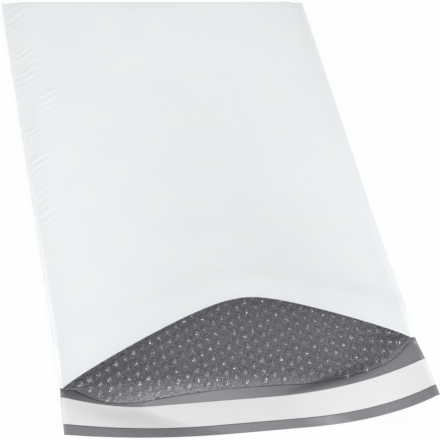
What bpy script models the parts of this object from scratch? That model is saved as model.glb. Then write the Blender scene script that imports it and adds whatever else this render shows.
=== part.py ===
"""Poly bubble mailer, empty, lying on its back panel with its mouth standing open.

One web of film is folded over at the closed end and welded along both sides, so it is the back
panel, the front panel and the closing lip in one piece.  A second web of bubble film lines both
panels, bubbles facing in.  A strip of adhesive under a release liner crosses the lip.

Metres, +Z up, mouth towards -Y, closed end towards +Y, origin under the middle of the mailer.
"""

import math

import bmesh
import bpy
import numpy as np

# Driving dimensions of the flat mailer
WIDTH = 0.362                # across, over both side seams
LENGTH = 0.508               # mouth to the fold at the closed end
LIP_LENGTH = 0.0517          # closing lip beyond the mouth
FILM = 0.0003                # outer film
SEAM_WIDTH = 0.005           # welded band along each side
SEAM_THICKNESS = 0.0012      # both films and the flattened lining
SIDE_ROUNDING = 0.016        # from the weld line in to full thickness
SEAM_RISE_LENGTH = 0.045     # behind the mouth, where the seams rise to half the thickness
SEAM_TILT = 0.3              # how much of the curl beside it a seam follows
CLEARANCE = 0.0003           # between neighbours that touch

# Bubble lining
BUBBLE_HEIGHT = 0.0045       # web and bubble together
WEB = 0.0010                 # flat film between the bubbles
BUBBLE_PITCH = 0.0112        # centre to centre along the length
BUBBLE_TOP = 0.0070          # across the flattened top of a bubble
BUBBLE_ROWS_BACK = 8         # rows modelled one by one from the loose edge in, on the back panel
BUBBLE_ROWS_FRONT = 2        # the same on the front panel
LINING_OVERHANG = 0.0055     # how far the lining reaches past the mouth, at the middle
LINING_LOBES = (0.024, 0.012)       # how much further its loose edge sags out, left and right
LINING_LOBE_END = 0.93              # where it is drawn back to the mouth, as a share of the half width
LINING_SETBACK = 0.0025      # from the front panel's mouth edge in to the lining

# Adhesive and its release liner, measured along the lip
LINER_WIDTH = 0.0245
LINER_INSET = 0.0094         # bare film between the lip's end and the liner
LINER_THICKNESS = 0.0003
ADHESIVE_WIDTH = 0.019
ADHESIVE_THICKNESS = 0.0003

# How the open mailer lies.  At the lip's end, the liner's upper edge, the mouth, a little way in
# and the closed end: how far each side edge is drawn in from the flat width, how high it is held
# up, how wide the strip is that curls up with it, and how sharply that strip curls.
REACH_IN = 0.060             # the fourth of those places, measured from the mouth
LEFT_DRAWN_IN = (0.016, 0.016, 0.018, 0.0165, 0.0)
LEFT_HELD_UP = (0.027, 0.031, 0.015, 0.0092, 0.0)
LEFT_CURL_WIDTH = (0.160, 0.085, 0.110, 0.120, 0.140)
LEFT_CURL_POWER = (2.0, 1.5, 1.8, 2.0, 2.0)
RIGHT_DRAWN_IN = (-0.002, 0.006, 0.014, 0.0125, 0.0)
RIGHT_HELD_UP = (0.045, 0.054, 0.064, 0.053, 0.0)
RIGHT_CURL_WIDTH = (0.130, 0.150, 0.100, 0.110, 0.140)
RIGHT_CURL_POWER = (2.3, 2.0, 1.45, 1.6, 2.0)

# The front panel's arch over the mouth
CROWN = 0.0590               # height over the line between the side edges
CROWN_PLACE = 0.002          # across, from the middle
CROWN_ROUNDING = (0.034, 0.027)     # radius of the arch's top, left and right of its highest place
CROWN_SWELL = (0.895, 0.885)        # how straight its flanks are, left and right: below 1 they swell outwards
CROWN_LEAN = 0.545            # how far the arch leans back for each unit of height
CROWN_DEPTH = 0.400          # how far behind the mouth the arch has died away
CROWN_FADE = 1.5             # how quickly it does so

HALF_WIDTH = WIDTH / 2
WELD_LINE = HALF_WIDTH - SEAM_WIDTH
FULL_THICKNESS = 2 * (FILM + CLEARANCE + BUBBLE_HEIGHT) + CLEARANCE
FOLD_RADIUS = FULL_THICKNESS / 2
FOLD_START = LENGTH - FOLD_RADIUS
FOLD_END = FOLD_START + math.pi * FOLD_RADIUS
WEB_END = FOLD_END + FOLD_START
PLACES = (-LIP_LENGTH, -LIP_LENGTH + LINER_INSET + LINER_WIDTH, 0.0, REACH_IN, LENGTH)

# Sections are worked out on this many even steps across, none of them steeper than this
FINE_STEPS = 240
LEAST_RUN = 0.2              # as a share of the step
SKIN_PROBE = 0.0015          # reach of the slopes that thickness is measured square to
SHARP_EDGE = 40              # degrees

# Mesh rows and columns
OVERHANG_ROWS = 3            # of the lining, past the mouth
MOUTH_ROWS = (0.0, 0.014, 0.032, 0.055, 0.085, 0.120)
DEEP_ROWS = 4
FOLD_ROWS = 4
COLUMNS = 19
EDGE_COLUMNS = (0.0015, 0.005, 0.011)


def eased(place, values):
    """Monotone cubic through the five places along the mailer."""
    places = np.asarray(PLACES)
    values = np.asarray(values, float)
    steps = np.diff(places)
    slopes = np.diff(values) / steps
    tangents = np.concatenate([slopes[:1], np.zeros(len(slopes) - 1), slopes[-1:]])
    before, after = slopes[:-1], slopes[1:]
    same = before * after > 0
    tangents[1:-1][same] = 2 * before[same] * after[same] / (before[same] + after[same])
    place = np.clip(place, places[0], places[-1])
    i = np.clip(np.searchsorted(places, place) - 1, 0, len(steps) - 1)
    u = (place - places[i]) / steps[i]
    return (values[i] * (1 + 2 * u) * (1 - u) ** 2 + tangents[i] * steps[i] * u * (1 - u) ** 2
            + values[i + 1] * u * u * (3 - 2 * u) + tangents[i + 1] * steps[i] * u * u * (u - 1))


def soft_step(share):
    share = np.clip(share, 0, 1)
    return share * share * (3 - 2 * share)


def thickness(across):
    """Mailer's thickness at rest: the weld's along the seams, rounding up to full inside."""
    inside = np.clip((WELD_LINE - np.abs(across)) / SIDE_ROUNDING, 0, 1)
    return SEAM_THICKNESS + (FULL_THICKNESS - SEAM_THICKNESS) * np.sqrt(1 - (1 - inside) ** 2)


def curl(across, along, side, width, power, height):
    """Height of the strip that curls up with one side edge."""
    width = eased(along, width)
    outward = side * across
    from_edge = (np.maximum(WELD_LINE - outward, 0)
                 + SEAM_TILT * (HALF_WIDTH - np.maximum(outward, WELD_LINE)))
    share = np.clip(1 - from_edge / width, 0, 1)
    return eased(along, height) * share ** eased(along, power)


def back_sections(along):
    """Sections across the back panel: the film keeps its width, so what it gains in height it
    loses in reach.  Returns x and z, one row for each place along, on an even spread of points."""
    along = np.asarray(along, float)[:, None]
    across = np.linspace(-HALF_WIDTH, HALF_WIDTH, FINE_STEPS + 1)[None, :]
    z = (curl(across, along, -1, LEFT_CURL_WIDTH, LEFT_CURL_POWER, LEFT_HELD_UP)
         + curl(across, along, 1, RIGHT_CURL_WIDTH, RIGHT_CURL_POWER, RIGHT_HELD_UP)
         + (FULL_THICKNESS - thickness(across)) / 2 * soft_step(along / SEAM_RISE_LENGTH))
    step = WIDTH / FINE_STEPS
    runs = np.sqrt(np.maximum(step ** 2 - np.diff(z, axis=1) ** 2, (LEAST_RUN * step) ** 2))
    reach = np.concatenate([np.zeros((len(z), 1)), np.cumsum(runs, axis=1)], axis=1)
    reach = reach / reach[:, -1:]
    left = -HALF_WIDTH + eased(along, LEFT_DRAWN_IN)
    right = HALF_WIDTH - eased(along, RIGHT_DRAWN_IN)
    return left + (right - left) * reach, z


def arch_profile(across):
    """The arch's height share: a tent with straight flanks and a rounded top."""
    offset = across - CROWN_PLACE
    flank = np.where(offset < 0, WELD_LINE + CROWN_PLACE, WELD_LINE - CROWN_PLACE)
    radius = np.where(offset < 0, *CROWN_ROUNDING)
    rounded = np.sqrt(offset ** 2 + radius ** 2) - radius
    share = 1 - rounded / (np.sqrt(flank ** 2 + radius ** 2) - radius)
    return np.clip(share, 0, 1) ** np.where(offset < 0, *CROWN_SWELL)


def front_sections(along):
    """Sections across the front panel: lying on the back panel deep inside, arched between the
    weld lines at the mouth.  Returns x, z and how far the arch leans back."""
    back_x, back_z = back_sections(along)
    across = np.linspace(-HALF_WIDTH, HALF_WIDTH, FINE_STEPS + 1)
    slope_x = np.gradient(back_x, axis=1)
    slope_z = np.gradient(back_z, axis=1)
    steep = np.hypot(slope_x, slope_z)
    lying_x = back_x - thickness(across) * slope_z / steep
    lying_z = back_z + thickness(across) * slope_x / steep
    first = int(np.ceil(SEAM_WIDTH / WIDTH * FINE_STEPS))
    last = FINE_STEPS - first
    ends = np.stack([lying_x[:, [first, last]], lying_z[:, [first, last]]], axis=-1)
    chord = ends[:, 1] - ends[:, 0]
    length = np.linalg.norm(chord, axis=1, keepdims=True)
    chord = chord / length
    rise = CROWN * arch_profile(across[first:last + 1])
    step = WIDTH / FINE_STEPS
    climbs = np.diff(rise) * math.hypot(1, CROWN_LEAN)
    runs = np.sqrt(np.maximum(step ** 2 - climbs ** 2, (LEAST_RUN * step) ** 2))
    reach = np.concatenate([[0.0], np.cumsum(runs)]) / np.sum(runs)
    fade = np.clip(1 - np.asarray(along, float) / CROWN_DEPTH, 0, 1)[:, None] ** CROWN_FADE
    arched_x = ends[:, :1, 0] + chord[:, :1] * length * reach - chord[:, 1:] * rise
    arched_z = ends[:, :1, 1] + chord[:, 1:] * length * reach + chord[:, :1] * rise
    x, z, lean = lying_x.copy(), lying_z.copy(), np.zeros_like(lying_x)
    inside = slice(first, last + 1)
    x[:, inside] += fade * (arched_x - lying_x[:, inside])
    z[:, inside] += fade * (arched_z - lying_z[:, inside])
    lean[:, inside] = CROWN_LEAN * fade * rise
    return x, z, lean


def pick(table, across):
    """Value of each row of an evenly spread table at that row's place across."""
    index = np.clip((across + HALF_WIDTH) / WIDTH * FINE_STEPS, 0, FINE_STEPS)
    low = np.minimum(index.astype(int), FINE_STEPS - 1)
    rows = np.arange(len(table))
    part = index - low
    return table[rows, low] * (1 - part) + table[rows, low + 1] * part


def web_points(across, run):
    """Points of the web's outer skin.  Run goes along the web from the mouth, under the mailer,
    round the fold and back over the top; it is negative on the lip."""
    across, run = np.broadcast_arrays(np.asarray(across, float), np.asarray(run, float))
    shape = across.shape
    across, run = across.ravel(), run.ravel()
    along = np.where(run > FOLD_START, np.where(run < FOLD_END, FOLD_START, WEB_END - run), run)
    turn = np.clip((run - FOLD_START) / (FOLD_END - FOLD_START), 0, 1)
    back_x, back_z = back_sections(along)
    front_x, front_z, lean = front_sections(along)
    over = (1 - np.cos(math.pi * turn)) / 2
    x = (1 - over) * pick(back_x, across) + over * pick(front_x, across)
    z = (1 - over) * pick(back_z, across) + over * pick(front_z, across)
    y = along + FOLD_RADIUS * np.sin(math.pi * turn) + over * pick(lean, across)
    return np.stack([x, y, z], axis=-1).reshape(shape + (3,))


def web_layer(across, run, depth):
    """Outer skin moved inwards by the depth, square to the skin."""
    across, run, depth = np.broadcast_arrays(*(np.asarray(value, float) for value in (across, run, depth)))
    inside = np.clip(across, -HALF_WIDTH + SKIN_PROBE, HALF_WIDTH - SKIN_PROBE)
    sideways = web_points(inside + SKIN_PROBE, run) - web_points(inside - SKIN_PROBE, run)
    onward = web_points(inside, run + SKIN_PROBE) - web_points(inside, run - SKIN_PROBE)
    inward = np.cross(sideways, onward)
    inward /= np.linalg.norm(inward, axis=-1, keepdims=True)
    return web_points(across, run) + inward * depth[..., None]


class Body:
    """Collects points and faces of one closed body."""

    def __init__(self):
        self.mesh = bmesh.new()

    def points(self, places):
        """A grid, or a chain, of mesh points from an array of places."""
        if places.ndim == 1:
            return self.mesh.verts.new(places)
        return [self.points(row) for row in places]

    def face(self, *corners):
        distinct = list(dict.fromkeys(corners))
        if len(distinct) > 2:
            self.mesh.faces.new(distinct)

    def strip(self, one, other):
        """Quads between two chains of as many points."""
        for i in range(len(one) - 1):
            self.face(one[i], one[i + 1], other[i + 1], other[i])

    def skin(self, grid):
        for row, following in zip(grid[:-1], grid[1:]):
            self.strip(row, following)

    def join(self, one, other):
        """Triangles between two chains of different counts, always from the chain that lags."""
        lengths = [chain_lengths(chain) for chain in (one, other)]
        i = j = 0
        while i < len(one) - 1 or j < len(other) - 1:
            if j == len(other) - 1 or (i < len(one) - 1 and lengths[0][i + 1] < lengths[1][j + 1]):
                self.face(one[i], one[i + 1], other[j])
                i += 1
            else:
                self.face(one[i], other[j + 1], other[j])
                j += 1

    def finish(self, name, material, offset):
        bmesh.ops.triangulate(self.mesh, faces=self.mesh.faces[:])
        bmesh.ops.recalc_face_normals(self.mesh, faces=self.mesh.faces[:])
        if self.mesh.calc_volume(signed=True) < 0:
            bmesh.ops.reverse_faces(self.mesh, faces=self.mesh.faces[:])
        bmesh.ops.translate(self.mesh, verts=self.mesh.verts[:], vec=offset)
        mesh = bpy.data.meshes.new(name)
        self.mesh.to_mesh(mesh)
        self.mesh.free()
        mesh.materials.append(material)
        mesh.shade_smooth()
        mesh.set_sharp_from_angle(angle=math.radians(SHARP_EDGE))
        piece = bpy.data.objects.new(name, mesh)
        bpy.context.collection.objects.link(piece)
        return piece


def chain_lengths(chain):
    """How far along its chain each point is, as a share of the whole."""
    places = np.array([tuple(point.co) for point in chain])
    runs = np.concatenate([[0.0], np.cumsum(np.linalg.norm(np.diff(places, axis=0), axis=1))])
    return runs / runs[-1]


def body_rows():
    """Distances behind the mouth at which the panels have a row of points."""
    deep = np.linspace(MOUTH_ROWS[-1], FOLD_START, DEEP_ROWS + 1)
    return np.concatenate([MOUTH_ROWS, deep[1:]])


def lip_rows():
    """Rows on the lip, with one along each edge of the liner and of the adhesive."""
    liner_low = -LIP_LENGTH + LINER_INSET
    liner_high = liner_low + LINER_WIDTH
    margin = (LINER_WIDTH - ADHESIVE_WIDTH) / 2
    glued = np.linspace(liner_low + margin, liner_high - margin, 3)
    lined = np.linspace(-LINING_OVERHANG, 0, OVERHANG_ROWS + 1)
    return np.concatenate([[-LIP_LENGTH, liner_low], glued, [liner_high], lined])


def film_columns():
    """Places across: the seams, then even steps between them, closer beside the weld lines."""
    edges = WELD_LINE - np.array((0.0,) + EDGE_COLUMNS)
    middle = np.linspace(-edges[-1], edges[-1], COLUMNS)[1:-1]
    right = np.concatenate([edges[::-1], [HALF_WIDTH]])
    return np.concatenate([-right[::-1], middle, right])


def outer_film(material, offset):
    """Lip, back panel, fold and front panel, welded together along both sides."""
    columns = film_columns()
    lip = lip_rows()[:-1]
    back = body_rows()
    fold = np.linspace(FOLD_START, FOLD_END, FOLD_ROWS + 1)[1:-1]
    rows = np.concatenate([lip, back, fold, WEB_END - back[::-1]])
    mouth_row = len(lip)
    film = Body()
    runs = uneven_run(columns[None, :], rows[:, None])
    outer = film.points(web_layer(columns[None, :], runs, 0.0))
    places = web_layer(columns[None, :], runs, FILM)
    left, right = 1, len(columns) - 2
    count = len(rows)

    # Both inner skins meet along the weld lines, halfway between them
    for i in range(mouth_row, count):
        twin = count - 1 - (i - mouth_row)
        for j in (left, right):
            places[i, j] = (places[i, j] + places[twin, j]) / 2
            places[twin, j] = places[i, j]
    inner = [[None] * len(columns) for _ in rows]
    for i in range(count):
        twin = count - 1 - (i - mouth_row)
        for j in range(len(columns)):
            beyond_weld = j < left or j > right
            if i > mouth_row and beyond_weld:
                continue
            if j in (left, right) and i > twin:
                inner[i][j] = inner[twin][j]
            else:
                inner[i][j] = film.points(places[i, j])

    film.skin(outer)
    film.skin(inner[:mouth_row + 1])
    film.skin([row[left:right + 1] for row in inner[mouth_row:]])
    film.strip(outer[0], inner[0])
    for j in (0, len(columns) - 1):
        film.strip([row[j] for row in outer[:mouth_row + 1]], [row[j] for row in inner[:mouth_row + 1]])
        for i in range(mouth_row, (mouth_row + count) // 2):
            twin = count - 1 - (i - mouth_row)
            corner = [inner[i][j]] if i == mouth_row else []
            film.face(outer[i][j], outer[i + 1][j], outer[twin - 1][j], outer[twin][j], *corner)
    film.strip(inner[mouth_row][:left + 1], outer[-1][:left + 1])
    film.strip(inner[-1][left:right + 1], outer[-1][left:right + 1])
    film.strip(inner[mouth_row][right:], outer[-1][right:])
    return film.finish("outer_film", material, offset)


LINING_EDGE = WELD_LINE - EDGE_COLUMNS[0]
LINING_BED = FILM + CLEARANCE


def lining_start(across):
    """Where the lining ends on the back panel: past the mouth, running out to the side seams."""
    share = across / HALF_WIDTH
    loose = LINING_OVERHANG - LINING_SETBACK + np.where(share < 0, *LINING_LOBES) * share ** 2
    drawn_back = np.clip(np.abs(share) / LINING_LOBE_END, 0, 1) ** 6
    return -loose * (1 - drawn_back) - LINING_SETBACK


def uneven_run(across, run):
    """Rows under the overhang follow the lining's uneven end, and come straight at the mouth."""
    lined = (run < 0) & (run > -LINING_OVERHANG - FILM)
    return np.where(lined, -run * lining_start(across) / LINING_OVERHANG, run)


def lining_top(across):
    """Height of the bubbles over the lining's bed: flattened beside the seams."""
    room = (thickness(across) - CLEARANCE) / 2 - LINING_BED
    return np.minimum(room, BUBBLE_HEIGHT)


def bubble_field(lining, rows, place):
    """Staggered bubbles, each a six-sided dome with a flat top, filling the width of the lining.

    Place turns across and along (from the mouth inwards) and depth into a point.  Returns the
    field's four edges as chains of points: mouth edge, deep edge, left edge, right edge."""
    columns = 2 * int(LINING_EDGE / (BUBBLE_PITCH * math.sqrt(3) / 2) - 1 / 6) + 1

    # Six-sided cells with corners left and right: two thirds of the column pitch to a corner
    column_pitch = 2 * LINING_EDGE / (columns + 1 / 3)
    corner = 2 / 3 * column_pitch
    corner_across = np.array([corner, corner / 2, -corner / 2, -corner, -corner / 2, corner / 2])
    corner_along = np.array([0, 1, 1, 0, -1, -1]) * BUBBLE_PITCH / 2
    top_share = BUBBLE_TOP / BUBBLE_PITCH
    deep = (rows - 0.5) * BUBBLE_PITCH
    points = {}

    def web_point(across, along):
        key = (round(across * 1e6), round(along * 1e6))
        if key not in points:
            spot = place(np.array([across]), np.array([along]), np.minimum(WEB, lining_top(across) / 2))
            points[key] = lining.points(spot[0])
        return points[key]

    centres = []
    for i in range(columns):
        staggered = i % 2
        for j in range(rows - staggered):
            centre = -LINING_EDGE + corner + i * column_pitch
            centres.append((centre, (j + staggered / 2) * BUBBLE_PITCH))
    for across, along in centres:
        base = [web_point(across + u, along + v) for u, v in zip(corner_across, corner_along)]
        height = float(lining_top(across))
        tops = place(across + top_share * corner_across, along + top_share * corner_along, height)
        dome = lining.points(tops)
        lining.strip(base + base[:1], dome + dome[:1])
        lining.face(*dome)

    # Cut bubbles at both ends and down both sides are flat film
    shallow = -BUBBLE_PITCH / 2
    edges = {}
    for along in (shallow, deep):
        inner_step = BUBBLE_PITCH / 2 if along == shallow else -BUBBLE_PITCH / 2
        chain = [web_point(-LINING_EDGE, along)]
        for i in range(0, columns, 2):
            centre = -LINING_EDGE + corner + i * column_pitch
            chain += [web_point(centre - corner / 2, along), web_point(centre + corner / 2, along)]
            if i < columns - 1:
                near = web_point(centre + corner, along + inner_step)
                far = web_point(centre + 2 * corner, along + inner_step)
                following = web_point(centre + 2 * column_pitch - corner / 2, along)
                lining.face(chain[-1], near, far, following)
        chain.append(web_point(LINING_EDGE, along))
        edges[along] = chain
    sides = []
    for side in (-1, 1):
        chain = [web_point(side * LINING_EDGE, shallow)]
        for j in range(rows):
            chain.append(web_point(side * LINING_EDGE, j * BUBBLE_PITCH))
            notch = web_point(side * (LINING_EDGE - corner / 2), j * BUBBLE_PITCH - BUBBLE_PITCH / 2)
            lining.face(chain[-2], notch, chain[-1])
        chain.append(web_point(side * LINING_EDGE, deep))
        notch = web_point(side * (LINING_EDGE - corner / 2), deep)
        lining.face(chain[-2], notch, chain[-1])
        sides.append(chain)
    return edges[shallow], edges[deep], sides[0], sides[1]


def bubble_lining(material, offset):
    """One web of bubble film along the back panel, round the fold and along the front panel."""
    columns = film_columns()[2:-2]
    half_row = BUBBLE_PITCH / 2
    first_deep_back = BUBBLE_ROWS_BACK * BUBBLE_PITCH
    first_deep_front = BUBBLE_ROWS_FRONT * BUBBLE_PITCH + LINING_SETBACK
    along = body_rows()
    ramp = half_row / 2
    start = -LINING_OVERHANG
    overhang = list(np.linspace(start, 0, OVERHANG_ROWS + 1)[:-1])
    back_mouth = overhang + [a for a in along if a < first_deep_back + start - ramp]
    back_deep = [first_deep_back + start, first_deep_back + start + ramp]
    back_deep += [a for a in along if a > back_deep[-1] + ramp]
    front_deep = [first_deep_front + ramp, first_deep_front]
    front_deep = [a for a in along[::-1] if a > front_deep[0] + ramp] + front_deep
    front_mouth = [a for a in along[::-1] if LINING_SETBACK < a < first_deep_front - ramp] + [LINING_SETBACK]
    fold = np.linspace(FOLD_START, FOLD_END, FOLD_ROWS + 1)[1:-1]
    rows = np.concatenate([back_mouth, back_deep, fold, WEB_END - np.array(front_deep + front_mouth)])
    back_edge = len(back_mouth)
    front_edge = len(rows) - len(front_mouth) - 1

    def bed_place(across, run, depth):
        return web_layer(across, uneven_run(across, run), LINING_BED + depth)

    lining = Body()
    bed = lining.points(bed_place(columns[None, :], rows[:, None], 0.0))
    deep_rows = rows[back_edge + 1:front_edge]
    tops = bed_place(columns[None, :], deep_rows[:, None], lining_top(columns)[None, :])
    deep = lining.points(tops)
    lining.skin(bed)
    lining.skin(deep)

    back_field = bubble_field(
        lining, BUBBLE_ROWS_BACK,
        lambda across, inward, depth: bed_place(across, start + half_row + inward, depth))
    front_field = bubble_field(
        lining, BUBBLE_ROWS_FRONT,
        lambda across, inward, depth: bed_place(
            across, WEB_END - LINING_SETBACK - half_row - inward, depth))

    lining.join(bed[0], back_field[0])
    lining.join(back_field[1], deep[0])
    lining.join(deep[-1], front_field[1])
    lining.join(front_field[0], bed[-1])
    for column, field in ((0, 2), (-1, 3)):
        under = [row[column] for row in bed]
        over = [row[column] for row in deep]
        lining.join(under[:back_edge + 1], back_field[field])
        lining.join(under[back_edge:front_edge + 1],
                    [back_field[field][-1]] + over + [front_field[field][-1]])
        lining.join(under[front_edge:], front_field[field][::-1])
    return lining.finish("bubble_lining", material, offset)


def lip_strip(name, material, offset, inset, width, bed, thick):
    """A thin strip across the whole lip, lying on it."""
    columns = film_columns()
    low = -LIP_LENGTH + inset
    rows = np.array([row for row in lip_rows() if low - FILM < row < low + width + FILM])
    strip = Body()
    under = strip.points(web_layer(columns[None, :], rows[:, None], bed))
    over = strip.points(web_layer(columns[None, :], rows[:, None], bed + thick))
    strip.skin(under)
    strip.skin(over)
    strip.strip(under[0], over[0])
    strip.strip(under[-1], over[-1])
    for j in (0, -1):
        strip.strip([row[j] for row in under], [row[j] for row in over])
    return strip.finish(name, material, offset)


def plastic(name, colour, roughness):
    material = bpy.data.materials.new(name)
    material.use_nodes = True
    shader = material.node_tree.nodes["Principled BSDF"]
    shader.inputs["Base Color"].default_value = (*colour, 1.0)
    shader.inputs["Roughness"].default_value = roughness
    shader.inputs["Metallic"].default_value = 0.0
    material.diffuse_color = (*colour, 1.0)
    return material


def main():
    for existing in list(bpy.data.objects):
        bpy.data.objects.remove(existing, do_unlink=True)
    white_film = plastic("white_film", (0.80, 0.83, 0.84), 0.45)
    bubble_film = plastic("bubble_film", (0.10, 0.10, 0.11), 0.25)
    glue = plastic("glue", (0.62, 0.60, 0.52), 0.35)
    liner = plastic("liner", (0.78, 0.78, 0.78), 0.35)

    columns = film_columns()
    reach = web_points(columns[None, :], np.linspace(-LIP_LENGTH, WEB_END, 120)[:, None])
    low, high = reach.min(axis=(0, 1)), reach.max(axis=(0, 1))
    offset = (-(low[0] + high[0]) / 2, -(low[1] + high[1]) / 2, -low[2])

    outer_film(white_film, offset)
    bubble_lining(bubble_film, offset)
    adhesive_bed = FILM + CLEARANCE
    lip_strip("adhesive_strip", glue, offset, LINER_INSET + (LINER_WIDTH - ADHESIVE_WIDTH) / 2,
              ADHESIVE_WIDTH, adhesive_bed, ADHESIVE_THICKNESS)
    lip_strip("release_liner", liner, offset, LINER_INSET, LINER_WIDTH,
              adhesive_bed + ADHESIVE_THICKNESS + CLEARANCE, LINER_THICKNESS)


main()
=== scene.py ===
"""Poly bubble mailer, empty, its mouth arched open and its closing lip under a peel-off liner.

The mailer is one web of film, folded over at the closed end.  A place on it is given by two lengths:
across, from the middle line to the right, and run, along the web from the mouth, under the mailer,
round the fold and back over the top; run is negative on the lip.  Every piece is a layer at some
depth inside that web's outer skin.
"""

import math

import bpy
import numpy as np
from mathutils import Matrix, Vector


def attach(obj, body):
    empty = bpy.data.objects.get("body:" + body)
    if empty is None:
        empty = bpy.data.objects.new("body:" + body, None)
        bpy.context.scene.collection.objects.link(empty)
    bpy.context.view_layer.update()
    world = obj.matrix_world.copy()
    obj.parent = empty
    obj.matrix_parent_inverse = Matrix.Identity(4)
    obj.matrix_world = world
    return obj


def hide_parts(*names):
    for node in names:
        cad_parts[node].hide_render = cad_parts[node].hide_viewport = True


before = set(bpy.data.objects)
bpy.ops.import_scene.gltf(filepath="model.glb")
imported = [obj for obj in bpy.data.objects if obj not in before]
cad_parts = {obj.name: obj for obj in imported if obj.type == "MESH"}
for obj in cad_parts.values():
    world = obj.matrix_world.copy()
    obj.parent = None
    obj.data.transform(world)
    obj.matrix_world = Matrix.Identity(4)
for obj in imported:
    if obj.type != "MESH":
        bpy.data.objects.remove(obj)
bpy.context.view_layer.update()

# The flat mailer, in metres
WIDTH = 0.362
LENGTH = 0.508
LIP_LENGTH = 0.0517
FILM = 0.0003
SEAM_WIDTH = 0.0025
SEAM_THICKNESS = 0.0012
SIDE_ROUNDING = 0.022
SEAM_RISE_LENGTH = 0.045
SEAM_TILT = 0.3
CLEARANCE = 0.0003

# Bubble lining
BUBBLE_HEIGHT = 0.0045
WEB = 0.0010
BUBBLE_PITCH = 0.0112
BUBBLE_FOOT = 0.0054             # radius where a bubble stands on the web
BUBBLE_FROM_EDGE = 0.3 * BUBBLE_PITCH    # least distance of its centre from the lining's loose edge
LINING_OVERHANG = 0.0055
LINING_LOBES = (0.024, 0.012)    # how much farther the lining sags out towards the left and the right
LINING_LOBE_END = 0.93           # share of the half width at which its edge is drawn back again
LINING_DRAW_BACK = 6             # power that keeps the drawing back close to the seams
LINING_SETBACK = 0.0025
WELD_MARGIN = 0.0015             # between the lining and the weld
FLAT_CORNER = (-0.152, 0.004)    # across and run of the left corner where the bubbles are pressed flat

# One bubble, by shares of its radius and height
POINTS_ROUND = 12
RING_RADIUS = np.array([1.0, 0.86, 0.62, 0.32])
RING_HEIGHT = np.array([-0.06, 0.36, 0.82, 0.98])
FULLNESS = 0.93
FULLNESS_SPREAD = 0.07
LEAST_FULLNESS = 0.55
LEAST_SIZE = 0.94
LEAN_SPREAD = 0.10
PAINTED_HIGHLIGHT_HALF_WIDTH = 0.42         # of the painted highlight over its crown, a whitish streak
PAINTED_HIGHLIGHT_HALF_LENGTH = 0.95
TIP_HEIGHT = 0.99
BACK_BUBBLE_SEED = 21
FRONT_BUBBLE_SEED = 22

# Adhesive and release liner on the lip
LINER_WIDTH = 0.0245
LINER_INSET = 0.0094
LINER_THICKNESS = 0.0003
ADHESIVE_WIDTH = 0.019
ADHESIVE_THICKNESS = 0.0003

# How the open mailer lies, at the lip's end, the liner's upper edge, the mouth, a little way in and
# the closed end: each side edge's draw-in and height, and the width and sharpness of its curl
REACH_IN = 0.060
LEFT_DRAWN_IN = (0.016, 0.016, 0.018, 0.0165, 0.0)
LEFT_HELD_UP = (0.027, 0.031, 0.015, 0.0092, 0.0)
LEFT_CURL_WIDTH = (0.160, 0.085, 0.110, 0.120, 0.140)
LEFT_CURL_POWER = (2.0, 1.5, 1.8, 2.0, 2.0)
RIGHT_DRAWN_IN = (-0.002, 0.006, 0.014, 0.0125, 0.0)
RIGHT_HELD_UP = (0.045, 0.054, 0.064, 0.053, 0.0)
RIGHT_CURL_WIDTH = (0.130, 0.150, 0.100, 0.110, 0.140)
RIGHT_CURL_POWER = (2.3, 2.0, 1.45, 1.6, 2.0)
STEEPEST_RUN = 0.2               # least sideways share of a step along a section of film

# The front panel's arch over the mouth; pairs are for its left and right flanks
CROWN = 0.0602
CROWN_PLACE = 0.004
CROWN_ROUNDING = (0.034, 0.027)
CROWN_SWELL = (0.895, 0.915)
CROWN_LEAN = 0.545
CROWN_DEPTH = 0.400
CROWN_FADE = 1.5

# Where the grey film on the lip slopes up to the lining's edge
LIP_LIFT = 0.0007
LIP_LIFT_PLACE = -0.020
LIP_LIFT_REACH = 0.040
LIP_LIFT_PAST_EDGE = 0.001       # how far under the lining it keeps its height
LIP_LIFT_FALL = 0.005            # and the length over which it then falls

# The front panel's drapes beside the seams; a pair is a size inward from the seam and one across them
LEFT_DRAPE_HEIGHT = 0.00050
RIGHT_DRAPE_HEIGHT = 0.00020
LEFT_DRAPE_SEED = 14
RIGHT_DRAPE_SEED = 16
DRAPE_SPACING = 0.0092
DRAPE_SLANT = 0.55               # towards the closed end for each metre inward
DRAPE_START = 0.005
DRAPE_REACH = 0.070
DRAPE_WANDER = 0.8
DRAPE_WANDER_SIZE = (0.045, 0.026)
DRAPE_PATCH_SIZE = (0.040, 0.020)
DRAPE_PATCH_MEAN = 0.4
DRAPE_PATCH_SWING = 1.3
DRAPE_SHARE_AT_MOUTH = 0.15
DRAPES_GROW_FROM = 0.10          # distance in from the mouth
DRAPES_GROW_OVER = 0.18

# Its slow unevenness, and the bubbles that show through it
SLOW_HEIGHT = 0.00035
SLOW_SIZE = (0.045, 0.060)
SLOW_SEED = 11
SHOWING_HEIGHT = 0.00004
EVEN_BY_SEAM = 0.012             # lengths over which it dies out towards the edges
EVEN_BY_FOLD = 0.010
EVEN_BY_MOUTH = 0.070

# Worked out from these
HALF_WIDTH = WIDTH / 2
WELD_LINE = HALF_WIDTH - SEAM_WIDTH
FULL_THICKNESS = 2 * (FILM + CLEARANCE + BUBBLE_HEIGHT) + CLEARANCE
FOLD_RADIUS = FULL_THICKNESS / 2
FOLD_START = LENGTH - FOLD_RADIUS
FOLD_END = FOLD_START + math.pi * FOLD_RADIUS
WEB_END = FOLD_END + FOLD_START
LINER_TOP_EDGE = -LIP_LENGTH + LINER_INSET + LINER_WIDTH
PLACES = (-LIP_LENGTH, LINER_TOP_EDGE, 0.0, REACH_IN, LENGTH)
LINING_BED = FILM + CLEARANCE
LINING_EDGE = WELD_LINE - WELD_MARGIN
CLOSE_PITCH = BUBBLE_PITCH * math.sqrt(3) / 2    # between columns of staggered bubbles

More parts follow.
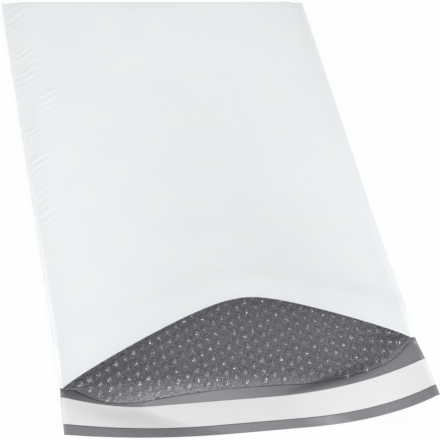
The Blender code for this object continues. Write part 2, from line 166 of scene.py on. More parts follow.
# Spacing of points, finer where a sheet bends or is draped
TABLE_STEP = 0.001               # of the table from which the web is read
WELD_STEP = 0.0004
STEP_IN = WELD_LINE - WELD_STEP
WELD_GROWTH = 0.003              # run behind the mouth over which the weld takes hold
SIDE_STRIPS = 0.12               # the columns are finer from here out, for the drapes
FRONT_MOUTH = WEB_END - 0.10
FILM_COLUMNS = (-HALF_WIDTH, -WELD_LINE, -STEP_IN, -SIDE_STRIPS,
                SIDE_STRIPS, STEP_IN, WELD_LINE, HALF_WIDTH)
FILM_COLUMN_STEPS = (0.0013, WELD_STEP, 0.0022, 0.0048, 0.0032, WELD_STEP, 0.0013)
FILM_ROWS = (-LIP_LENGTH, LINER_TOP_EDGE, 0.0, WELD_GROWTH, FOLD_START, FOLD_END, FRONT_MOUTH, WEB_END)
FILM_ROW_STEPS = (0.0030, 0.0015, 0.0010, 0.0075, 0.0020, 0.0013, 0.0022)
LOOSE_EDGE = 0.020               # run over which the lining's rows are fine
LOOSE_EDGE_EASE = 0.030          # and over which they turn from its edge's shape to straight
LINING_COLUMN_STEP = 0.0026
LINING_ROWS = (0.0, LOOSE_EDGE, FOLD_START, FOLD_END, WEB_END - LINING_SETBACK)
LINING_ROW_STEPS = (0.0020, 0.0060, 0.0020, 0.0060)
STRIP_COLUMN_STEP = 0.0020
STRIP_ROW_STEP = 0.0015
SHARP_ANGLE = math.radians(50)   # edges bent by more than this aren't shaded smooth

# The studio, in metres and watts
FLOOR_HALF = 3.0
FLOOR_DROP = 0.0002              # below the mailer, so that the two don't share a face
FLOOR_WHITE = 0.92               # share of plain white in what the camera sees of the floor
LIGHT_AIM = (0, -0.1, 0)
WORLD_AS_LIGHT = 0.40
WORLD_AS_SEEN = 1.0
CAMERA_PLACE = (-0.2702, -0.7492, 0.9903)
CAMERA_AIM = (0.0218, -0.0362, 0.0)
CAMERA_ROLL = math.radians(15.387)
CAMERA_LENS = 98.3               # millimetres, on a 36 mm sensor


# The web's shape

def soft_step(share):
    """3 s^2 - 2 s^3, held to 0..1."""
    share = np.clip(share, 0, 1)
    return share * share * (3 - 2 * share)


def eased(place, values):
    """Cubic through the five places along the mailer that never overshoots them: its slope at each
    place is the harmonic mean of the slopes beside it, or 0 where they differ in sign."""
    places = np.asarray(PLACES)
    values = np.asarray(values, float)
    steps = np.diff(places)
    slopes = np.diff(values) / steps
    tangents = np.concatenate([slopes[:1], np.zeros(len(slopes) - 1), slopes[-1:]])
    before, after = slopes[:-1], slopes[1:]
    same = before * after > 0
    tangents[1:-1][same] = 2 * before[same] * after[same] / (before[same] + after[same])
    place = np.clip(place, places[0], places[-1])
    i = np.clip(np.searchsorted(places, place) - 1, 0, len(steps) - 1)
    u = (place - places[i]) / steps[i]
    return (values[i] * (1 + 2 * u) * (1 - u) ** 2 + tangents[i] * steps[i] * u * (1 - u) ** 2
            + values[i + 1] * u * u * (3 - 2 * u) + tangents[i + 1] * steps[i] * u * u * (u - 1))


def thickness(across):
    """Mailer's thickness at rest: the weld's along the seams, a parabola up to full inside."""
    inside = np.clip((WELD_LINE - np.abs(across)) / SIDE_ROUNDING, 0, 1)
    return SEAM_THICKNESS + (FULL_THICKNESS - SEAM_THICKNESS) * (1 - (1 - inside) ** 2)


def curl(across, along, side, width, power, height):
    """Height of the strip that curls up with one side edge: height x share of the strip ^ power."""
    width = eased(along, width)
    outward = side * across
    from_edge = (np.maximum(WELD_LINE - outward, 0)
                 + SEAM_TILT * (HALF_WIDTH - np.maximum(outward, WELD_LINE)))
    share = np.clip(1 - from_edge / width, 0, 1)
    return eased(along, height) * share ** eased(along, power)


def kept_width(rise, step):
    """How far across a section its points lie, from 0 to 1, when every step is as long along the
    film: each step's sideways run is the root of step^2 - its rise^2."""
    runs = np.sqrt(np.maximum(step ** 2 - np.diff(rise, axis=-1) ** 2, (STEEPEST_RUN * step) ** 2))
    reach = np.concatenate([np.zeros(runs.shape[:-1] + (1,)), np.cumsum(runs, axis=-1)], axis=-1)
    return reach / reach[..., -1:]


def back_sections(across, along):
    """x and z of the back panel: both side strips curl up and draw the edges in."""
    along = along[:, None]
    z = (curl(across, along, -1, LEFT_CURL_WIDTH, LEFT_CURL_POWER, LEFT_HELD_UP)
         + curl(across, along, 1, RIGHT_CURL_WIDTH, RIGHT_CURL_POWER, RIGHT_HELD_UP)
         + (FULL_THICKNESS - thickness(across)) / 2 * soft_step(along / SEAM_RISE_LENGTH))
    left = -HALF_WIDTH + eased(along, LEFT_DRAWN_IN)
    right = HALF_WIDTH - eased(along, RIGHT_DRAWN_IN)
    return left + (right - left) * kept_width(z, across[1] - across[0]), z


def arch_profile(across):
    """Share of the arch's height: two flanks that meet in a hyperbola and swell a little outwards,
    by a power a little under 1."""
    offset = across - CROWN_PLACE
    flank = np.where(offset < 0, WELD_LINE + CROWN_PLACE, WELD_LINE - CROWN_PLACE)
    radius = np.where(offset < 0, *CROWN_ROUNDING)
    rounded = np.sqrt(offset ** 2 + radius ** 2) - radius
    share = np.clip(1 - rounded / (np.sqrt(flank ** 2 + radius ** 2) - radius), 0, 1)
    return share ** np.where(offset < 0, *CROWN_SWELL)


def front_sections(across, along, back_x, back_z):
    """x, z and backward lean of the front panel: it lies on the back panel deep inside, and rises
    from the line between its weld lines by the arch at the mouth."""
    slope_x, slope_z = np.gradient(back_x, axis=1), np.gradient(back_z, axis=1)
    steep = np.hypot(slope_x, slope_z)
    lying_x = back_x - thickness(across) * slope_z / steep
    lying_z = back_z + thickness(across) * slope_x / steep
    first = int(np.searchsorted(across, -WELD_LINE - 1e-9))
    inside = slice(first, len(across) - first)
    ends = np.stack([lying_x[:, inside][:, [0, -1]], lying_z[:, inside][:, [0, -1]]], axis=-1)
    chord = ends[:, 1] - ends[:, 0]
    length = np.linalg.norm(chord, axis=1, keepdims=True)
    chord = chord / length
    rise = CROWN * arch_profile(across[inside])
    reach = kept_width(rise * math.hypot(1, CROWN_LEAN), across[1] - across[0])
    fade = np.clip(1 - along / CROWN_DEPTH, 0, 1)[:, None] ** CROWN_FADE
    arched_x = ends[:, :1, 0] + chord[:, :1] * length * reach - chord[:, 1:] * rise
    arched_z = ends[:, :1, 1] + chord[:, 1:] * length * reach + chord[:, :1] * rise
    x, z, lean = lying_x.copy(), lying_z.copy(), np.zeros_like(lying_x)
    x[:, inside] += fade * (arched_x - lying_x[:, inside])
    z[:, inside] += fade * (arched_z - lying_z[:, inside])
    lean[:, inside] = CROWN_LEAN * fade * rise
    return x, z, lean


def smooth_noise(x, y, seed):
    """Random values at whole numbers, between -1 and 1, blended with the soft step between them."""
    size = 64
    table = np.random.default_rng(seed).uniform(-1, 1, (size, size))
    i, j = np.floor(x).astype(int), np.floor(y).astype(int)
    u, v = soft_step(x - i), soft_step(y - j)
    near = table[i % size, j % size] * (1 - v) + table[i % size, (j + 1) % size] * v
    far = table[(i + 1) % size, j % size] * (1 - v) + table[(i + 1) % size, (j + 1) % size] * v
    return near * (1 - u) + far * u


def drapes(across, deep, side, height, seed):
    """Fine drapes that run in from a side seam and slant away from the mouth: 1 + sine of the place
    across them, which noise makes wander, times patches of noise.  They grow in from the seam and
    from the mouth, and die out evenly inward."""
    inward = HALF_WIDTH - side * across
    crosswise = deep - DRAPE_SLANT * inward
    wander = smooth_noise(inward / DRAPE_WANDER_SIZE[0], crosswise / DRAPE_WANDER_SIZE[1], seed)
    waves = 1 + np.sin(math.tau * (crosswise / DRAPE_SPACING + DRAPE_WANDER * wander))
    patches = smooth_noise(inward / DRAPE_PATCH_SIZE[0], crosswise / DRAPE_PATCH_SIZE[1], seed + 1)
    patches = np.clip(DRAPE_PATCH_MEAN + DRAPE_PATCH_SWING * patches, 0, 1)
    reach = soft_step((inward - SEAM_WIDTH) / DRAPE_START) * np.clip(1 - inward / DRAPE_REACH, 0, 1)
    grown = soft_step((deep - DRAPES_GROW_FROM) / DRAPES_GROW_OVER)
    grown = DRAPE_SHARE_AT_MOUTH + (1 - DRAPE_SHARE_AT_MOUTH) * grown
    return height * waves * patches * reach * grown


def film_relief(across, run):
    """How far the front panel stands out from its even shape, never inwards: the drapes of both
    sides, 1 + slow noise, and the bubbles showing through as 1 + cosine across x cosine along."""
    deep = WEB_END - run
    draped = (drapes(across, deep, -1, LEFT_DRAPE_HEIGHT, LEFT_DRAPE_SEED)
              + drapes(across, deep, 1, RIGHT_DRAPE_HEIGHT, RIGHT_DRAPE_SEED))
    slow = SLOW_HEIGHT * (1 + smooth_noise(across / SLOW_SIZE[0], run / SLOW_SIZE[1], SLOW_SEED))
    rows = np.cos(math.tau * deep / BUBBLE_PITCH)
    showing = SHOWING_HEIGHT * (1 + rows * np.cos(math.pi * across / CLOSE_PITCH))
    inner = soft_step((WELD_LINE - np.abs(across)) / EVEN_BY_SEAM)
    on_front = soft_step((run - FOLD_END) / EVEN_BY_FOLD) * soft_step(deep / EVEN_BY_MOUTH)
    return on_front * (draped + inner * (slow + showing))


class Web:
    """The outer skin at every millimetre across and along, with its inward direction.  Its box stands
    on the floor, centred over the origin."""

    def __init__(self):
        self.across = np.linspace(-HALF_WIDTH, HALF_WIDTH, int(round(WIDTH / TABLE_STEP)) + 1)
        count = int(math.ceil((WEB_END + LIP_LENGTH) / TABLE_STEP)) + 1
        self.run = np.linspace(-LIP_LENGTH, WEB_END, count)
        places = self.even_shape()
        low, high = places.min(axis=(0, 1)), places.max(axis=(0, 1))
        self.places = places - [(low[0] + high[0]) / 2, (low[1] + high[1]) / 2, low[2]]
        self.inward = self.square_to_skin()

    def even_shape(self):
        """Back panel below, front panel above, half a turn between them at the closed end."""
        run = self.run
        along = np.where(run > FOLD_START, np.where(run < FOLD_END, FOLD_START, WEB_END - run), run)
        turn = np.clip((run - FOLD_START) / (FOLD_END - FOLD_START), 0, 1)[:, None]
        back_x, back_z = back_sections(self.across, along)
        front_x, front_z, lean = front_sections(self.across, along, back_x, back_z)
        over = (1 - np.cos(math.pi * turn)) / 2
        x = (1 - over) * back_x + over * front_x
        z = (1 - over) * back_z + over * front_z
        y = along[:, None] + FOLD_RADIUS * np.sin(math.pi * turn) + over * lean
        return np.stack([x, y, z], axis=-1)

    def square_to_skin(self):
        """Cross product of the slopes across and along."""
        inward = np.cross(np.gradient(self.places, axis=1), np.gradient(self.places, axis=0))
        return inward / np.linalg.norm(inward, axis=-1, keepdims=True)

    def read(self, table, across, run):
        """Value of a table between its places, by a cubic through four neighbours each way."""
        i = (run - self.run[0]) / (self.run[1] - self.run[0])
        j = (across - self.across[0]) / (self.across[1] - self.across[0])
        value = 0.0
        for di, wi in cubic_weights(i, len(self.run)):
            line = 0.0
            for dj, wj in cubic_weights(j, len(self.across)):
                line = line + wj[..., None] * table[di, dj]
            value = value + wi[..., None] * line
        return value

    def layer(self, across, run, depth):
        """Places at a depth inside the outer skin, square to it."""
        across, run, depth = np.broadcast_arrays(*(np.asarray(v, float) for v in (across, run, depth)))
        inward = self.read(self.inward, across, run)
        inward /= np.linalg.norm(inward, axis=-1, keepdims=True)
        return self.read(self.places, across, run) + inward * depth[..., None]


def cubic_weights(place, count):
    """Neighbours before, at, after and beyond a place, each with its Catmull-Rom weight."""
    low = np.clip(np.floor(place).astype(int), 0, count - 2)
    t = np.clip(place - low, 0, 1)
    weights = ((-t + 2 * t ** 2 - t ** 3) / 2, (2 - 5 * t ** 2 + 3 * t ** 3) / 2,
               (t + 4 * t ** 2 - 3 * t ** 3) / 2, (-t ** 2 + t ** 3) / 2)
    return [(np.clip(low + step, 0, count - 1), weight) for step, weight in zip((-1, 0, 1, 2), weights)]


web = Web()


# Meshes from grids

def new_piece(name, places, faces, uv, materials, face_material=None, smooth=True, painted_highlight_mask=None):
    """An object from arrays: faces is a list of arrays of corner numbers, one for each face size.
    The highlight mask, where given, is a value for each point that its material reads as the share of a
    painted highlight."""
    mesh = bpy.data.meshes.new(name)
    corners = np.concatenate([block.ravel() for block in faces])
    sizes = np.concatenate([np.full(len(block), block.shape[1]) for block in faces])
    mesh.vertices.add(len(places))
    mesh.vertices.foreach_set("co", places.astype(np.float32).ravel())
    mesh.loops.add(len(corners))
    mesh.loops.foreach_set("vertex_index", corners.astype(np.int32))
    mesh.polygons.add(len(sizes))
    starts = np.concatenate([[0], np.cumsum(sizes)[:-1]])
    mesh.polygons.foreach_set("loop_start", starts.astype(np.int32))
    layer = mesh.uv_layers.new(name="web")
    layer.uv.foreach_set("vector", uv[corners].astype(np.float32).ravel())
    if painted_highlight_mask is not None:
        mesh.attributes.new("painted_highlight_mask", "FLOAT", "POINT").data.foreach_set("value", painted_highlight_mask.astype(np.float32))
    for material in materials:
        mesh.materials.append(material)
    if face_material is not None:
        mesh.polygons.foreach_set("material_index", face_material.astype(np.int32))
    mesh.update()
    mesh.validate()
    mesh.polygons.foreach_set("use_smooth", np.full(len(sizes), smooth))
    mesh.set_sharp_from_angle(angle=SHARP_ANGLE)
    piece = bpy.data.objects.new(name, mesh)
    bpy.context.collection.objects.link(piece)
    return piece


def quads(numbers):
    """Four-cornered faces of a grid of point numbers, facing against rows x columns."""
    return np.stack([numbers[:-1, :-1], numbers[1:, :-1], numbers[1:, 1:], numbers[:-1, 1:]],
                    axis=-1).reshape(-1, 4)


def rim(outer, inner):
    """Faces between a chain of the outer skin's points and the same chain of the inner skin's."""
    return np.stack([outer[:-1], outer[1:], inner[1:], inner[:-1]], axis=-1)


def layer_piece(name, across, run, outer_depth, inner_depth, materials, face_material=(0,) * 6):
    """A closed layer of the web between two depths: its outer skin, its inner skin and the rims.
    Face_material numbers the materials of the outer skin, the inner skin, the left and right rims
    and the first and last ones."""
    across, run = np.broadcast_arrays(across, run)
    skins = [web.layer(across, run, depth).reshape(-1, 3) for depth in (outer_depth, inner_depth)]
    outer = np.arange(across.size).reshape(across.shape)
    inner = outer + across.size
    faces = [quads(outer), quads(inner)[:, ::-1], rim(outer[::-1, 0], inner[::-1, 0]),
             rim(outer[:, -1], inner[:, -1]), rim(outer[0], inner[0]), rim(outer[-1, ::-1], inner[-1, ::-1])]
    uv = np.tile(np.stack([across.ravel(), run.ravel()], axis=-1), (2, 1))
    numbers = np.concatenate([np.full(len(block), skin) for block, skin in zip(faces, face_material)])
    return new_piece(name, np.concatenate(skins), [np.concatenate(faces)], uv, materials, numbers)


def spaced(knots, steps):
    """Places through the knots, each stretch cut into about its wanted step."""
    stretches = [np.linspace(a, b, max(int(round((b - a) / step)), 1) + 1)[:-1]
                 for a, b, step in zip(knots[:-1], knots[1:], steps)]
    return np.concatenate(stretches + [[knots[-1]]])


# Materials

def linear(hex_colour):
    """sRGB hex value as linear light."""
    parts = [int(hex_colour[i:i + 2], 16) / 255 for i in (0, 2, 4)]
    return tuple(p / 12.92 if p <= 0.04045 else ((p + 0.055) / 1.055) ** 2.4 for p in parts) + (1.0,)


def node(material, kind, links=(), **settings):
    """Adds a node; a setting named after an input sets it, any other sets the node's own value."""
    made = material.node_tree.nodes.new(kind)
    for key, value in settings.items():
        if hasattr(made, key):
            setattr(made, key, value)
        else:
            made.inputs[key.replace("_", " ")].default_value = value
    for source, target in links:
        material.node_tree.links.new(source, made.inputs[target])
    return made


def start_material(name, colour, **settings):
    """A material with its Principled shader, and the piece's own web map to place patterns by."""
    material = bpy.data.materials.new(name)
    material.use_nodes = True
    shader = material.node_tree.nodes["Principled BSDF"]
    shader.inputs["Base Color"].default_value = linear(colour)
    for key, value in settings.items():
        shader.inputs[key.replace("_", " ")].default_value = value
    place = node(material, "ShaderNodeUVMap", uv_map="web")
    return material, shader, place.outputs["UV"]


def feed(material, shader, **sources):
    """Links each source to the shader's input of that name."""
    for key, source in sources.items():
        material.node_tree.links.new(source, shader.inputs[key.replace("_", " ")])


def noise(material, place, scale, detail, roughness=0.5):
    """Cloudy noise from 0 to 1, with its scale in clouds to the metre."""
    return node(material, "ShaderNodeTexNoise", [(place, "Vector")],
                Scale=scale, Detail=detail, Roughness=roughness).outputs["Fac"]


def streaks(material, place, across, run, detail):
    """Noise drawn out along or across the web, with so many clouds to the metre each way."""
    drawn = node(material, "ShaderNodeMapping", [(place, "Vector")], Scale=(across, run, 1.0))
    return noise(material, drawn.outputs[0], 1.0, detail)


def ranged(material, value, low, high, to_low=0.0, to_high=1.0):
    """A value mapped evenly from low..high to to_low..to_high, and held to those."""
    return node(material, "ShaderNodeMapRange", [(value, "Value")],
                From_Min=low, From_Max=high, To_Min=to_low, To_Max=to_high).outputs[0]


def combined(material, operation, first, second):
    """Two values added, multiplied or compared."""
    return node(material, "ShaderNodeMath", [(first, 0), (second, 1)], operation=operation).outputs[0]


def mixed(material, share, first, second):
    """The first colour with a share of the second over it; each is a hex value or a node's output."""
    mix = node(material, "ShaderNodeMixRGB", [(share, "Fac")])
    for colour, socket in ((first, mix.inputs["Color1"]), (second, mix.inputs["Color2"])):
        if isinstance(colour, str):
            socket.default_value = linear(colour)
        else:
            material.node_tree.links.new(colour, socket)
    return mix.outputs[0]


def bumped(material, height, strength, distance, links=()):
    """The surface's direction where a height roughens it."""
    return node(material, "ShaderNodeBump", [(height, "Height"), *links],
                Strength=strength, Distance=distance).outputs[0]


def white_film_material():
    """Blown co-extruded polyethylene, titanium white outside: satin, and a touch cool.

    Its surface bears a faint peel, a millimetre or two across."""
    film, shader, place = start_material("white_polyethylene_film", "ECF0F1", Roughness=0.42, IOR=1.51)
    cloud = noise(film, place, scale=22.0, detail=4.0)
    peel = noise(film, place, scale=420.0, detail=2.0)
    feed(film, shader, Base_Color=mixed(film, cloud, "E7EBEE", "EDF0F0"),
         Normal=bumped(film, peel, strength=0.10, distance=0.0004))
    return film


def grey_film_material():
    """The same film's inner side, carbon grey: smoother, drawn out along the web, with a soft sheen."""
    film, shader, place = start_material("grey_polyethylene_film", "777679", Roughness=0.35, IOR=1.51)
    drawn = streaks(film, place, across=160.0, run=30.0, detail=3.0)
    peel = noise(film, place, scale=300.0, detail=2.0)
    peeled = bumped(film, peel, strength=0.12, distance=0.0005)
    feed(film, shader, Base_Color=mixed(film, drawn, "727176", "7A797E"),
         Normal=bumped(film, drawn, strength=0.15, distance=0.0008, links=[(peeled, "Normal")]))
    return film


def lining_web_material():
    """The lining's flat film, clear, on the grey film: it shows the grey through it.

    Crinkles a millimetre or two across each catch a speck of light, and small light flecks are strewn
    over it: whitened creases, partly painted glints.  Painted light makes it lighter towards the right
    and deeper inside."""
    film, shader, place = start_material("bubble_film_web", "77767A", Roughness=0.25, IOR=1.51)
    tone = mixed(film, noise(film, place, scale=260.0, detail=3.0), "54545A", "8E8D90")
    across_run = node(film, "ShaderNodeSeparateXYZ", [(place, "Vector")])
    # painted light: the film is painted lighter towards the right and deeper inside
    painted_light_rightward = ranged(film, across_run.outputs["X"], -0.12, 0.12, to_low=0.0, to_high=0.20)
    inside = ranged(film, across_run.outputs["Y"], -0.015, 0.045, to_low=-0.14, to_high=0.08)
    tone_with_painted_light = mixed(film, combined(film, "ADD", painted_light_rightward, inside), tone, "C4C4C8")
    # light flecks: whitened creases, partly painted glints
    strewn = noise(film, place, scale=700.0, detail=2.0, roughness=0.7)
    creases_and_painted_glints = ranged(film, strewn, 0.54, 0.68, to_low=0.0, to_high=0.75)
    crinkle = noise(film, place, scale=480.0, detail=2.0)
    feed(film, shader, Base_Color=mixed(film, creases_and_painted_glints, tone_with_painted_light, "D0D0D4"),
         Normal=bumped(film, crinkle, strength=0.5, distance=0.0010))
    return film


def lining_edge_material():
    """The lining's cut edge: several clear layers seen edge-on, which swallow the light."""
    return start_material("bubble_film_edge", "3E3D41", Roughness=0.4, IOR=1.51)[0]


def bubble_material():
    """A bubble's clear film: hardly seen but for what it mirrors.

    It is several skins that each reflect, so its index is set above the plastic's own.  Its crown
    bears a painted highlight, whitish, in short streaks that run along the web, and less clear there."""
    film, shader, place = start_material("bubble_film_dome", "8A898D", Roughness=0.13, IOR=1.9, Alpha=0.22,
                                         Specular_IOR_Level=0.7)
    # painted highlight: a whitish streak over each crown, broken along the web and made more opaque
    painted_highlight_mask = node(film, "ShaderNodeAttribute", attribute_name="painted_highlight_mask").outputs["Fac"]
    painted_highlight_streaks = streaks(film, place, across=820.0, run=170.0, detail=1.0)
    creases_and_painted_glints = ranged(film, painted_highlight_streaks, 0.48, 0.60, to_low=0.25, to_high=1.0)
    painted_highlight = combined(film, "MULTIPLY", creases_and_painted_glints, ranged(film, painted_highlight_mask, 0.0, 0.6))
    crinkle = noise(film, place, scale=520.0, detail=2.0, roughness=0.6)
    feed(film, shader, Base_Color=mixed(film, painted_highlight, "8A898D", "C8C8CC"),
         Alpha=ranged(film, painted_highlight, 0.0, 1.0, to_low=0.22, to_high=0.74),
         Normal=bumped(film, crinkle, strength=0.4, distance=0.0010))
    return film


def liner_material():
    """Siliconised release film, white: smooth, flat and a little glossier than the mailer."""
    film, shader, place = start_material("release_liner_film", "DFDFDF", Roughness=0.5, IOR=1.4)
    cloud = noise(film, place, scale=30.0, detail=3.0)
    feed(film, shader, Base_Color=mixed(film, cloud, "DDDDDD", "E1E1E0"),
         Normal=bumped(film, cloud, strength=0.15, distance=0.0010))
    return film


def glue_material():
    """Hot-melt pressure-sensitive adhesive: pale amber, slick and slightly ropy along its coating."""
    glue, shader, place = start_material("pressure_sensitive_adhesive", "D6CFB4", Roughness=0.22, IOR=1.49)
    ropes = streaks(glue, place, across=25.0, run=600.0, detail=2.0)
    feed(glue, shader, Base_Color=mixed(glue, ropes, "CFC7A8", "DDD7C0"),
         Normal=bumped(glue, ropes, strength=0.3, distance=0.0008))
    return glue


# The mailer's pieces

def belongs(piece, node_name):
    """Dresses a node of the part: in place of its solid, with its material, riding the one body."""
    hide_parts(node_name)
    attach(piece, "root")


def outer_film():
    """The whole web: white outside, grey inside.  It is as thick as the film, and half as thick as
    the weld along both side seams behind the mouth, so that the two panels meet there.  Left of the
    middle, its inner side on the lip slopes up a little to the lining's edge and down again under it."""
    across = spaced(FILM_COLUMNS, FILM_COLUMN_STEPS)[None, :]
    run = spaced(FILM_ROWS, FILM_ROW_STEPS)[:, None]
    welded = soft_step((np.abs(across) - STEP_IN) / WELD_STEP) * soft_step(run / WELD_GROWTH)
    edge = lining_start(across)
    lift = LIP_LIFT * np.clip((run - LINER_TOP_EDGE) / (edge - LINER_TOP_EDGE), 0, 1)
    lift = lift * (1 - soft_step((run - edge - LIP_LIFT_PAST_EDGE) / LIP_LIFT_FALL))
    lift = lift * np.exp(-((across - LIP_LIFT_PLACE) / LIP_LIFT_REACH) ** 2)
    depth = FILM + (SEAM_THICKNESS / 2 - FILM) * welded + lift
    piece = layer_piece("outer_film_skin", across, run, -film_relief(across, run), depth,
                        [white_film_material(), grey_film_material()], face_material=(0, 1, 0, 0, 1, 1))
    belongs(piece, "outer_film")


def lining_start(across):
    """Where the lining ends on the back panel: it sags out past the mouth, most towards both sides,
    and runs back to the seams."""
    share = across / HALF_WIDTH
    loose = LINING_OVERHANG - LINING_SETBACK + np.where(share < 0, *LINING_LOBES) * share ** 2
    drawn_back = np.clip(np.abs(share) / LINING_LOBE_END, 0, 1) ** LINING_DRAW_BACK
    return -loose * (1 - drawn_back) - LINING_SETBACK


def lining_room(across):
    """Height of the bubbles over the lining's bed: flattened beside the seams."""
    return np.minimum((thickness(across) - CLEARANCE) / 2 - LINING_BED, BUBBLE_HEIGHT)


def lining_web():
    """The flat film between the bubbles, from its loose edge round the fold to the front's mouth."""
    across = spaced((-LINING_EDGE, LINING_EDGE), (LINING_COLUMN_STEP,))[None, :]
    straight = spaced(LINING_ROWS, LINING_ROW_STEPS)[:, None]
    run = straight + lining_start(across) * (1 - soft_step(straight / LOOSE_EDGE_EASE))
    top = LINING_BED + np.minimum(WEB, lining_room(across) / 2)
    piece = layer_piece("bubble_lining_web", across, run, LINING_BED, top,
                        [lining_web_material(), lining_edge_material()], face_material=(0, 0, 0, 0, 1, 1))
    belongs(piece, "bubble_lining")


def bubble_places():
    """Centres of the staggered bubbles on both panels, as across and run.

    The outermost columns stand two thirds of a column's pitch in from the lining's sides.  The rows
    start beyond the longest lobe, and bubbles off the lining or in the flat corner are left out."""
    columns = 2 * int(LINING_EDGE / CLOSE_PITCH - 1 / 6) + 1
    column_pitch = 2 * LINING_EDGE / (columns + 1 / 3)
    i = np.arange(columns)
    rows = np.arange(-int(max(LINING_LOBES) / BUBBLE_PITCH) - 2, int(FOLD_START / BUBBLE_PITCH))
    across = np.broadcast_to(-LINING_EDGE + column_pitch * (2 / 3 + i), (len(rows), columns))
    run = (rows[:, None] + 0.5 * (i % 2)) * BUBBLE_PITCH
    before_fold = run < FOLD_START - BUBBLE_PITCH / 2
    in_corner = (across <= FLAT_CORNER[0]) & (run <= FLAT_CORNER[1])
    on_back = (run > lining_start(across) + BUBBLE_FROM_EDGE) & before_fold & ~in_corner
    on_front = (run > LINING_SETBACK + BUBBLE_PITCH / 2) & before_fold
    back = np.stack([across[on_back], run[on_back]], axis=-1)
    front = np.stack([across[on_front], WEB_END - run[on_front]], axis=-1)
    return back, front


def dome_faces():
    """Faces of one bubble: walls between its rings, a cap of triangles up to its tip, and its foot."""
    turn = np.arange(POINTS_ROUND)
    following = (turn + 1) % POINTS_ROUND
    ring = POINTS_ROUND * np.arange(len(RING_RADIUS) - 1)[:, None]
    above = ring + POINTS_ROUND
    walls = np.stack([ring + turn, ring + following, above + following, above + turn], axis=-1)
    last = POINTS_ROUND * (len(RING_RADIUS) - 1)
    tip = np.full(POINTS_ROUND, last + POINTS_ROUND)
    return walls.reshape(-1, 4), np.stack([last + turn, last + following, tip], axis=-1), turn[None, ::-1]


def bubbles(name, centres, seed, material):
    """Low domes: rings of points whose height rises like a bell as their radius falls, each bubble a
    little uneven in size, fullness and lean.  The painted highlight's mask falls from 1 at the tip to 0
    at the rim of an ellipse that is longer along the web."""
    chance = np.random.default_rng(seed)
    count = len(centres)
    full = np.clip(chance.normal(FULLNESS, FULLNESS_SPREAD, count), LEAST_FULLNESS, 1.0)
    size = chance.uniform(LEAST_SIZE, 1.0, count)[:, None, None]
    lean = chance.normal(0, LEAN_SPREAD, (count, 2))[:, :, None, None]
    angle = np.arange(POINTS_ROUND) * math.tau / POINTS_ROUND
    ring_u = RING_RADIUS[:, None] * np.cos(angle)
    ring_v = RING_RADIUS[:, None] * np.sin(angle)
    u, v = ring_u * size, ring_v * size
    across = centres[:, 0, None, None] + BUBBLE_FOOT * u
    run = centres[:, 1, None, None] + BUBBLE_FOOT * v
    tilted = 1 + lean[:, 0] * u + lean[:, 1] * v
    share = np.minimum(RING_HEIGHT[:, None] * tilted * full[:, None, None], 1.0)
    rings = web.layer(across, run, bubble_depth(across, share)).reshape(count, -1, 3)
    tips = web.layer(centres[:, 0], centres[:, 1], bubble_depth(centres[:, 0], TIP_HEIGHT * full))
    places = np.concatenate([rings, tips[:, None]], axis=1).reshape(-1, 3)
    ring_uv = np.stack([across, run], axis=-1).reshape(count, -1, 2)
    uv = np.concatenate([ring_uv, centres[:, None]], axis=1).reshape(-1, 2)
    starts = len(places) // count * np.arange(count)[:, None, None]
    faces = [(block + starts).reshape(-1, block.shape[1]) for block in dome_faces()]
    # share of the painted highlight over the crown, an ellipse longer along the web
    painted_streak_share = 1 - np.hypot(ring_u / PAINTED_HIGHLIGHT_HALF_WIDTH, ring_v / PAINTED_HIGHLIGHT_HALF_LENGTH)
    painted_highlight_mask = np.tile(np.append(np.clip(painted_streak_share, 0, 1), 1.0), count)
    belongs(new_piece(name, places, faces, uv, [material], painted_highlight_mask=painted_highlight_mask), "bubble_lining")


def bubble_depth(across, share):
    """Depth inside the outer skin at a share of a bubble's height over the flat film."""
    room = lining_room(across)
    foot = np.minimum(WEB, room / 2)
    return LINING_BED + foot + (room - foot) * share


def lip_strip(name, node_name, material, inset, width, bed, thick):
    """A thin strip across the whole lip, lying on it."""
    across = spaced((-HALF_WIDTH, HALF_WIDTH), (STRIP_COLUMN_STEP,))[None, :]
    low = -LIP_LENGTH + inset
    run = spaced((low, low + width), (STRIP_ROW_STEP,))[:, None]
    belongs(layer_piece(name, across, run, bed, bed + thick, [material]), node_name)


outer_film()
lining_web()
back_centres, front_centres = bubble_places()
clear_bubble = bubble_material()
bubbles("back_bubbles", back_centres, BACK_BUBBLE_SEED, clear_bubble)
bubbles("front_bubbles", front_centres, FRONT_BUBBLE_SEED, clear_bubble)
lip_strip("adhesive_band", "adhesive_strip", glue_material(),
          LINER_INSET + (LINER_WIDTH - ADHESIVE_WIDTH) / 2, ADHESIVE_WIDTH,
          FILM + CLEARANCE, ADHESIVE_THICKNESS)
lip_strip("release_liner_band", "release_liner", liner_material(),
          LINER_INSET, LINER_WIDTH, FILM + 2 * CLEARANCE + ADHESIVE_THICKNESS, LINER_THICKNESS)


# Floor, lights and camera

def floor():
    """A plain white sheet.  The camera sees it near white, with the mailer's shadow."""
    corners = FLOOR_HALF * np.array([(-1, -1), (1, -1), (1, 1), (-1, 1)])
    places = np.column_stack([corners, np.full(4, -FLOOR_DROP)])
    material, shader, _ = start_material("floor_white", "F2F2F2", Roughness=0.9)
    glow = node(material, "ShaderNodeEmission", Color=(1, 1, 1, 1), Strength=1.0)
    path = node(material, "ShaderNodeLightPath")
    share = ranged(material, path.outputs["Is Camera Ray"], 0.0, 1.0, 0.0, FLOOR_WHITE)
    mix = node(material, "ShaderNodeMixShader", [(share, 0), (shader.outputs[0], 1), (glow.outputs[0], 2)])
    feed(material, material.node_tree.nodes["Material Output"], Surface=mix.outputs[0])
    piece = new_piece("floor", places, [np.array([[0, 1, 2, 3]])], corners, [material], smooth=False)


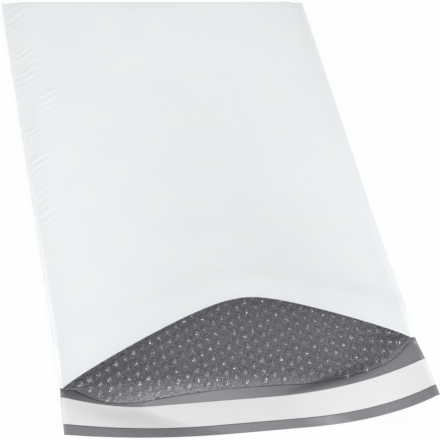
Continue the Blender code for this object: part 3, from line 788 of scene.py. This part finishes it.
def facing(place, aim, roll=0.0):
    """Frame at a place that looks along its own -Z at the aim, with a roll about that line."""
    forward = (Vector(aim) - Vector(place)).normalized()
    right = forward.cross(Vector((0, 0, 1))).normalized()
    up = right.cross(forward)
    turned_right = right * math.cos(roll) + up * math.sin(roll)
    turned_up = up * math.cos(roll) - right * math.sin(roll)
    matrix = Matrix((turned_right, turned_up, -forward)).transposed().to_4x4()
    matrix.translation = Vector(place)
    return matrix


def soft_light(name, place, side, power):
    """A square soft box at a place, turned towards the mailer."""
    light = bpy.data.lights.new(name, "AREA")
    light.shape = "SQUARE"
    light.size = side
    light.energy = power
    lamp = bpy.data.objects.new(name, light)
    bpy.context.collection.objects.link(lamp)
    lamp.matrix_world = facing(place, LIGHT_AIM)


def camera():
    """The photographer's place: above the lip and to its left, with the camera rolled."""
    view = bpy.data.cameras.new("camera")
    view.sensor_width = 36.0
    view.lens = CAMERA_LENS
    view.clip_end = 20.0
    camera_object = bpy.data.objects.new("camera", view)
    bpy.context.collection.objects.link(camera_object)
    camera_object.matrix_world = facing(CAMERA_PLACE, CAMERA_AIM, CAMERA_ROLL)
    bpy.context.scene.camera = camera_object


def studio_world():
    """White all round: dimmer as light than the white that the camera and mirroring pieces see."""
    world = bpy.data.worlds.new("studio")
    world.use_nodes = True
    background = world.node_tree.nodes["Background"]
    background.inputs["Color"].default_value = (1, 1, 1, 1)
    path = node(world, "ShaderNodeLightPath").outputs
    mirrored = combined(world, "MAXIMUM", path["Is Glossy Ray"], path["Is Transmission Ray"])
    seen = combined(world, "MAXIMUM", path["Is Camera Ray"], mirrored)
    feed(world, background, Strength=ranged(world, seen, 0.0, 1.0, WORLD_AS_LIGHT, WORLD_AS_SEEN))
    bpy.context.scene.world = world


floor()
soft_light("by_camera", (-0.50, -1.40, 1.70), side=0.6, power=22.0)
soft_light("front_right", (0.9, -1.7, 1.2), side=0.4, power=4.0)
soft_light("over_back", (0.18, 0.36, 2.1), side=0.35, power=12.0)
camera()
studio_world()
bpy.context.scene.view_settings.view_transform = "Standard"
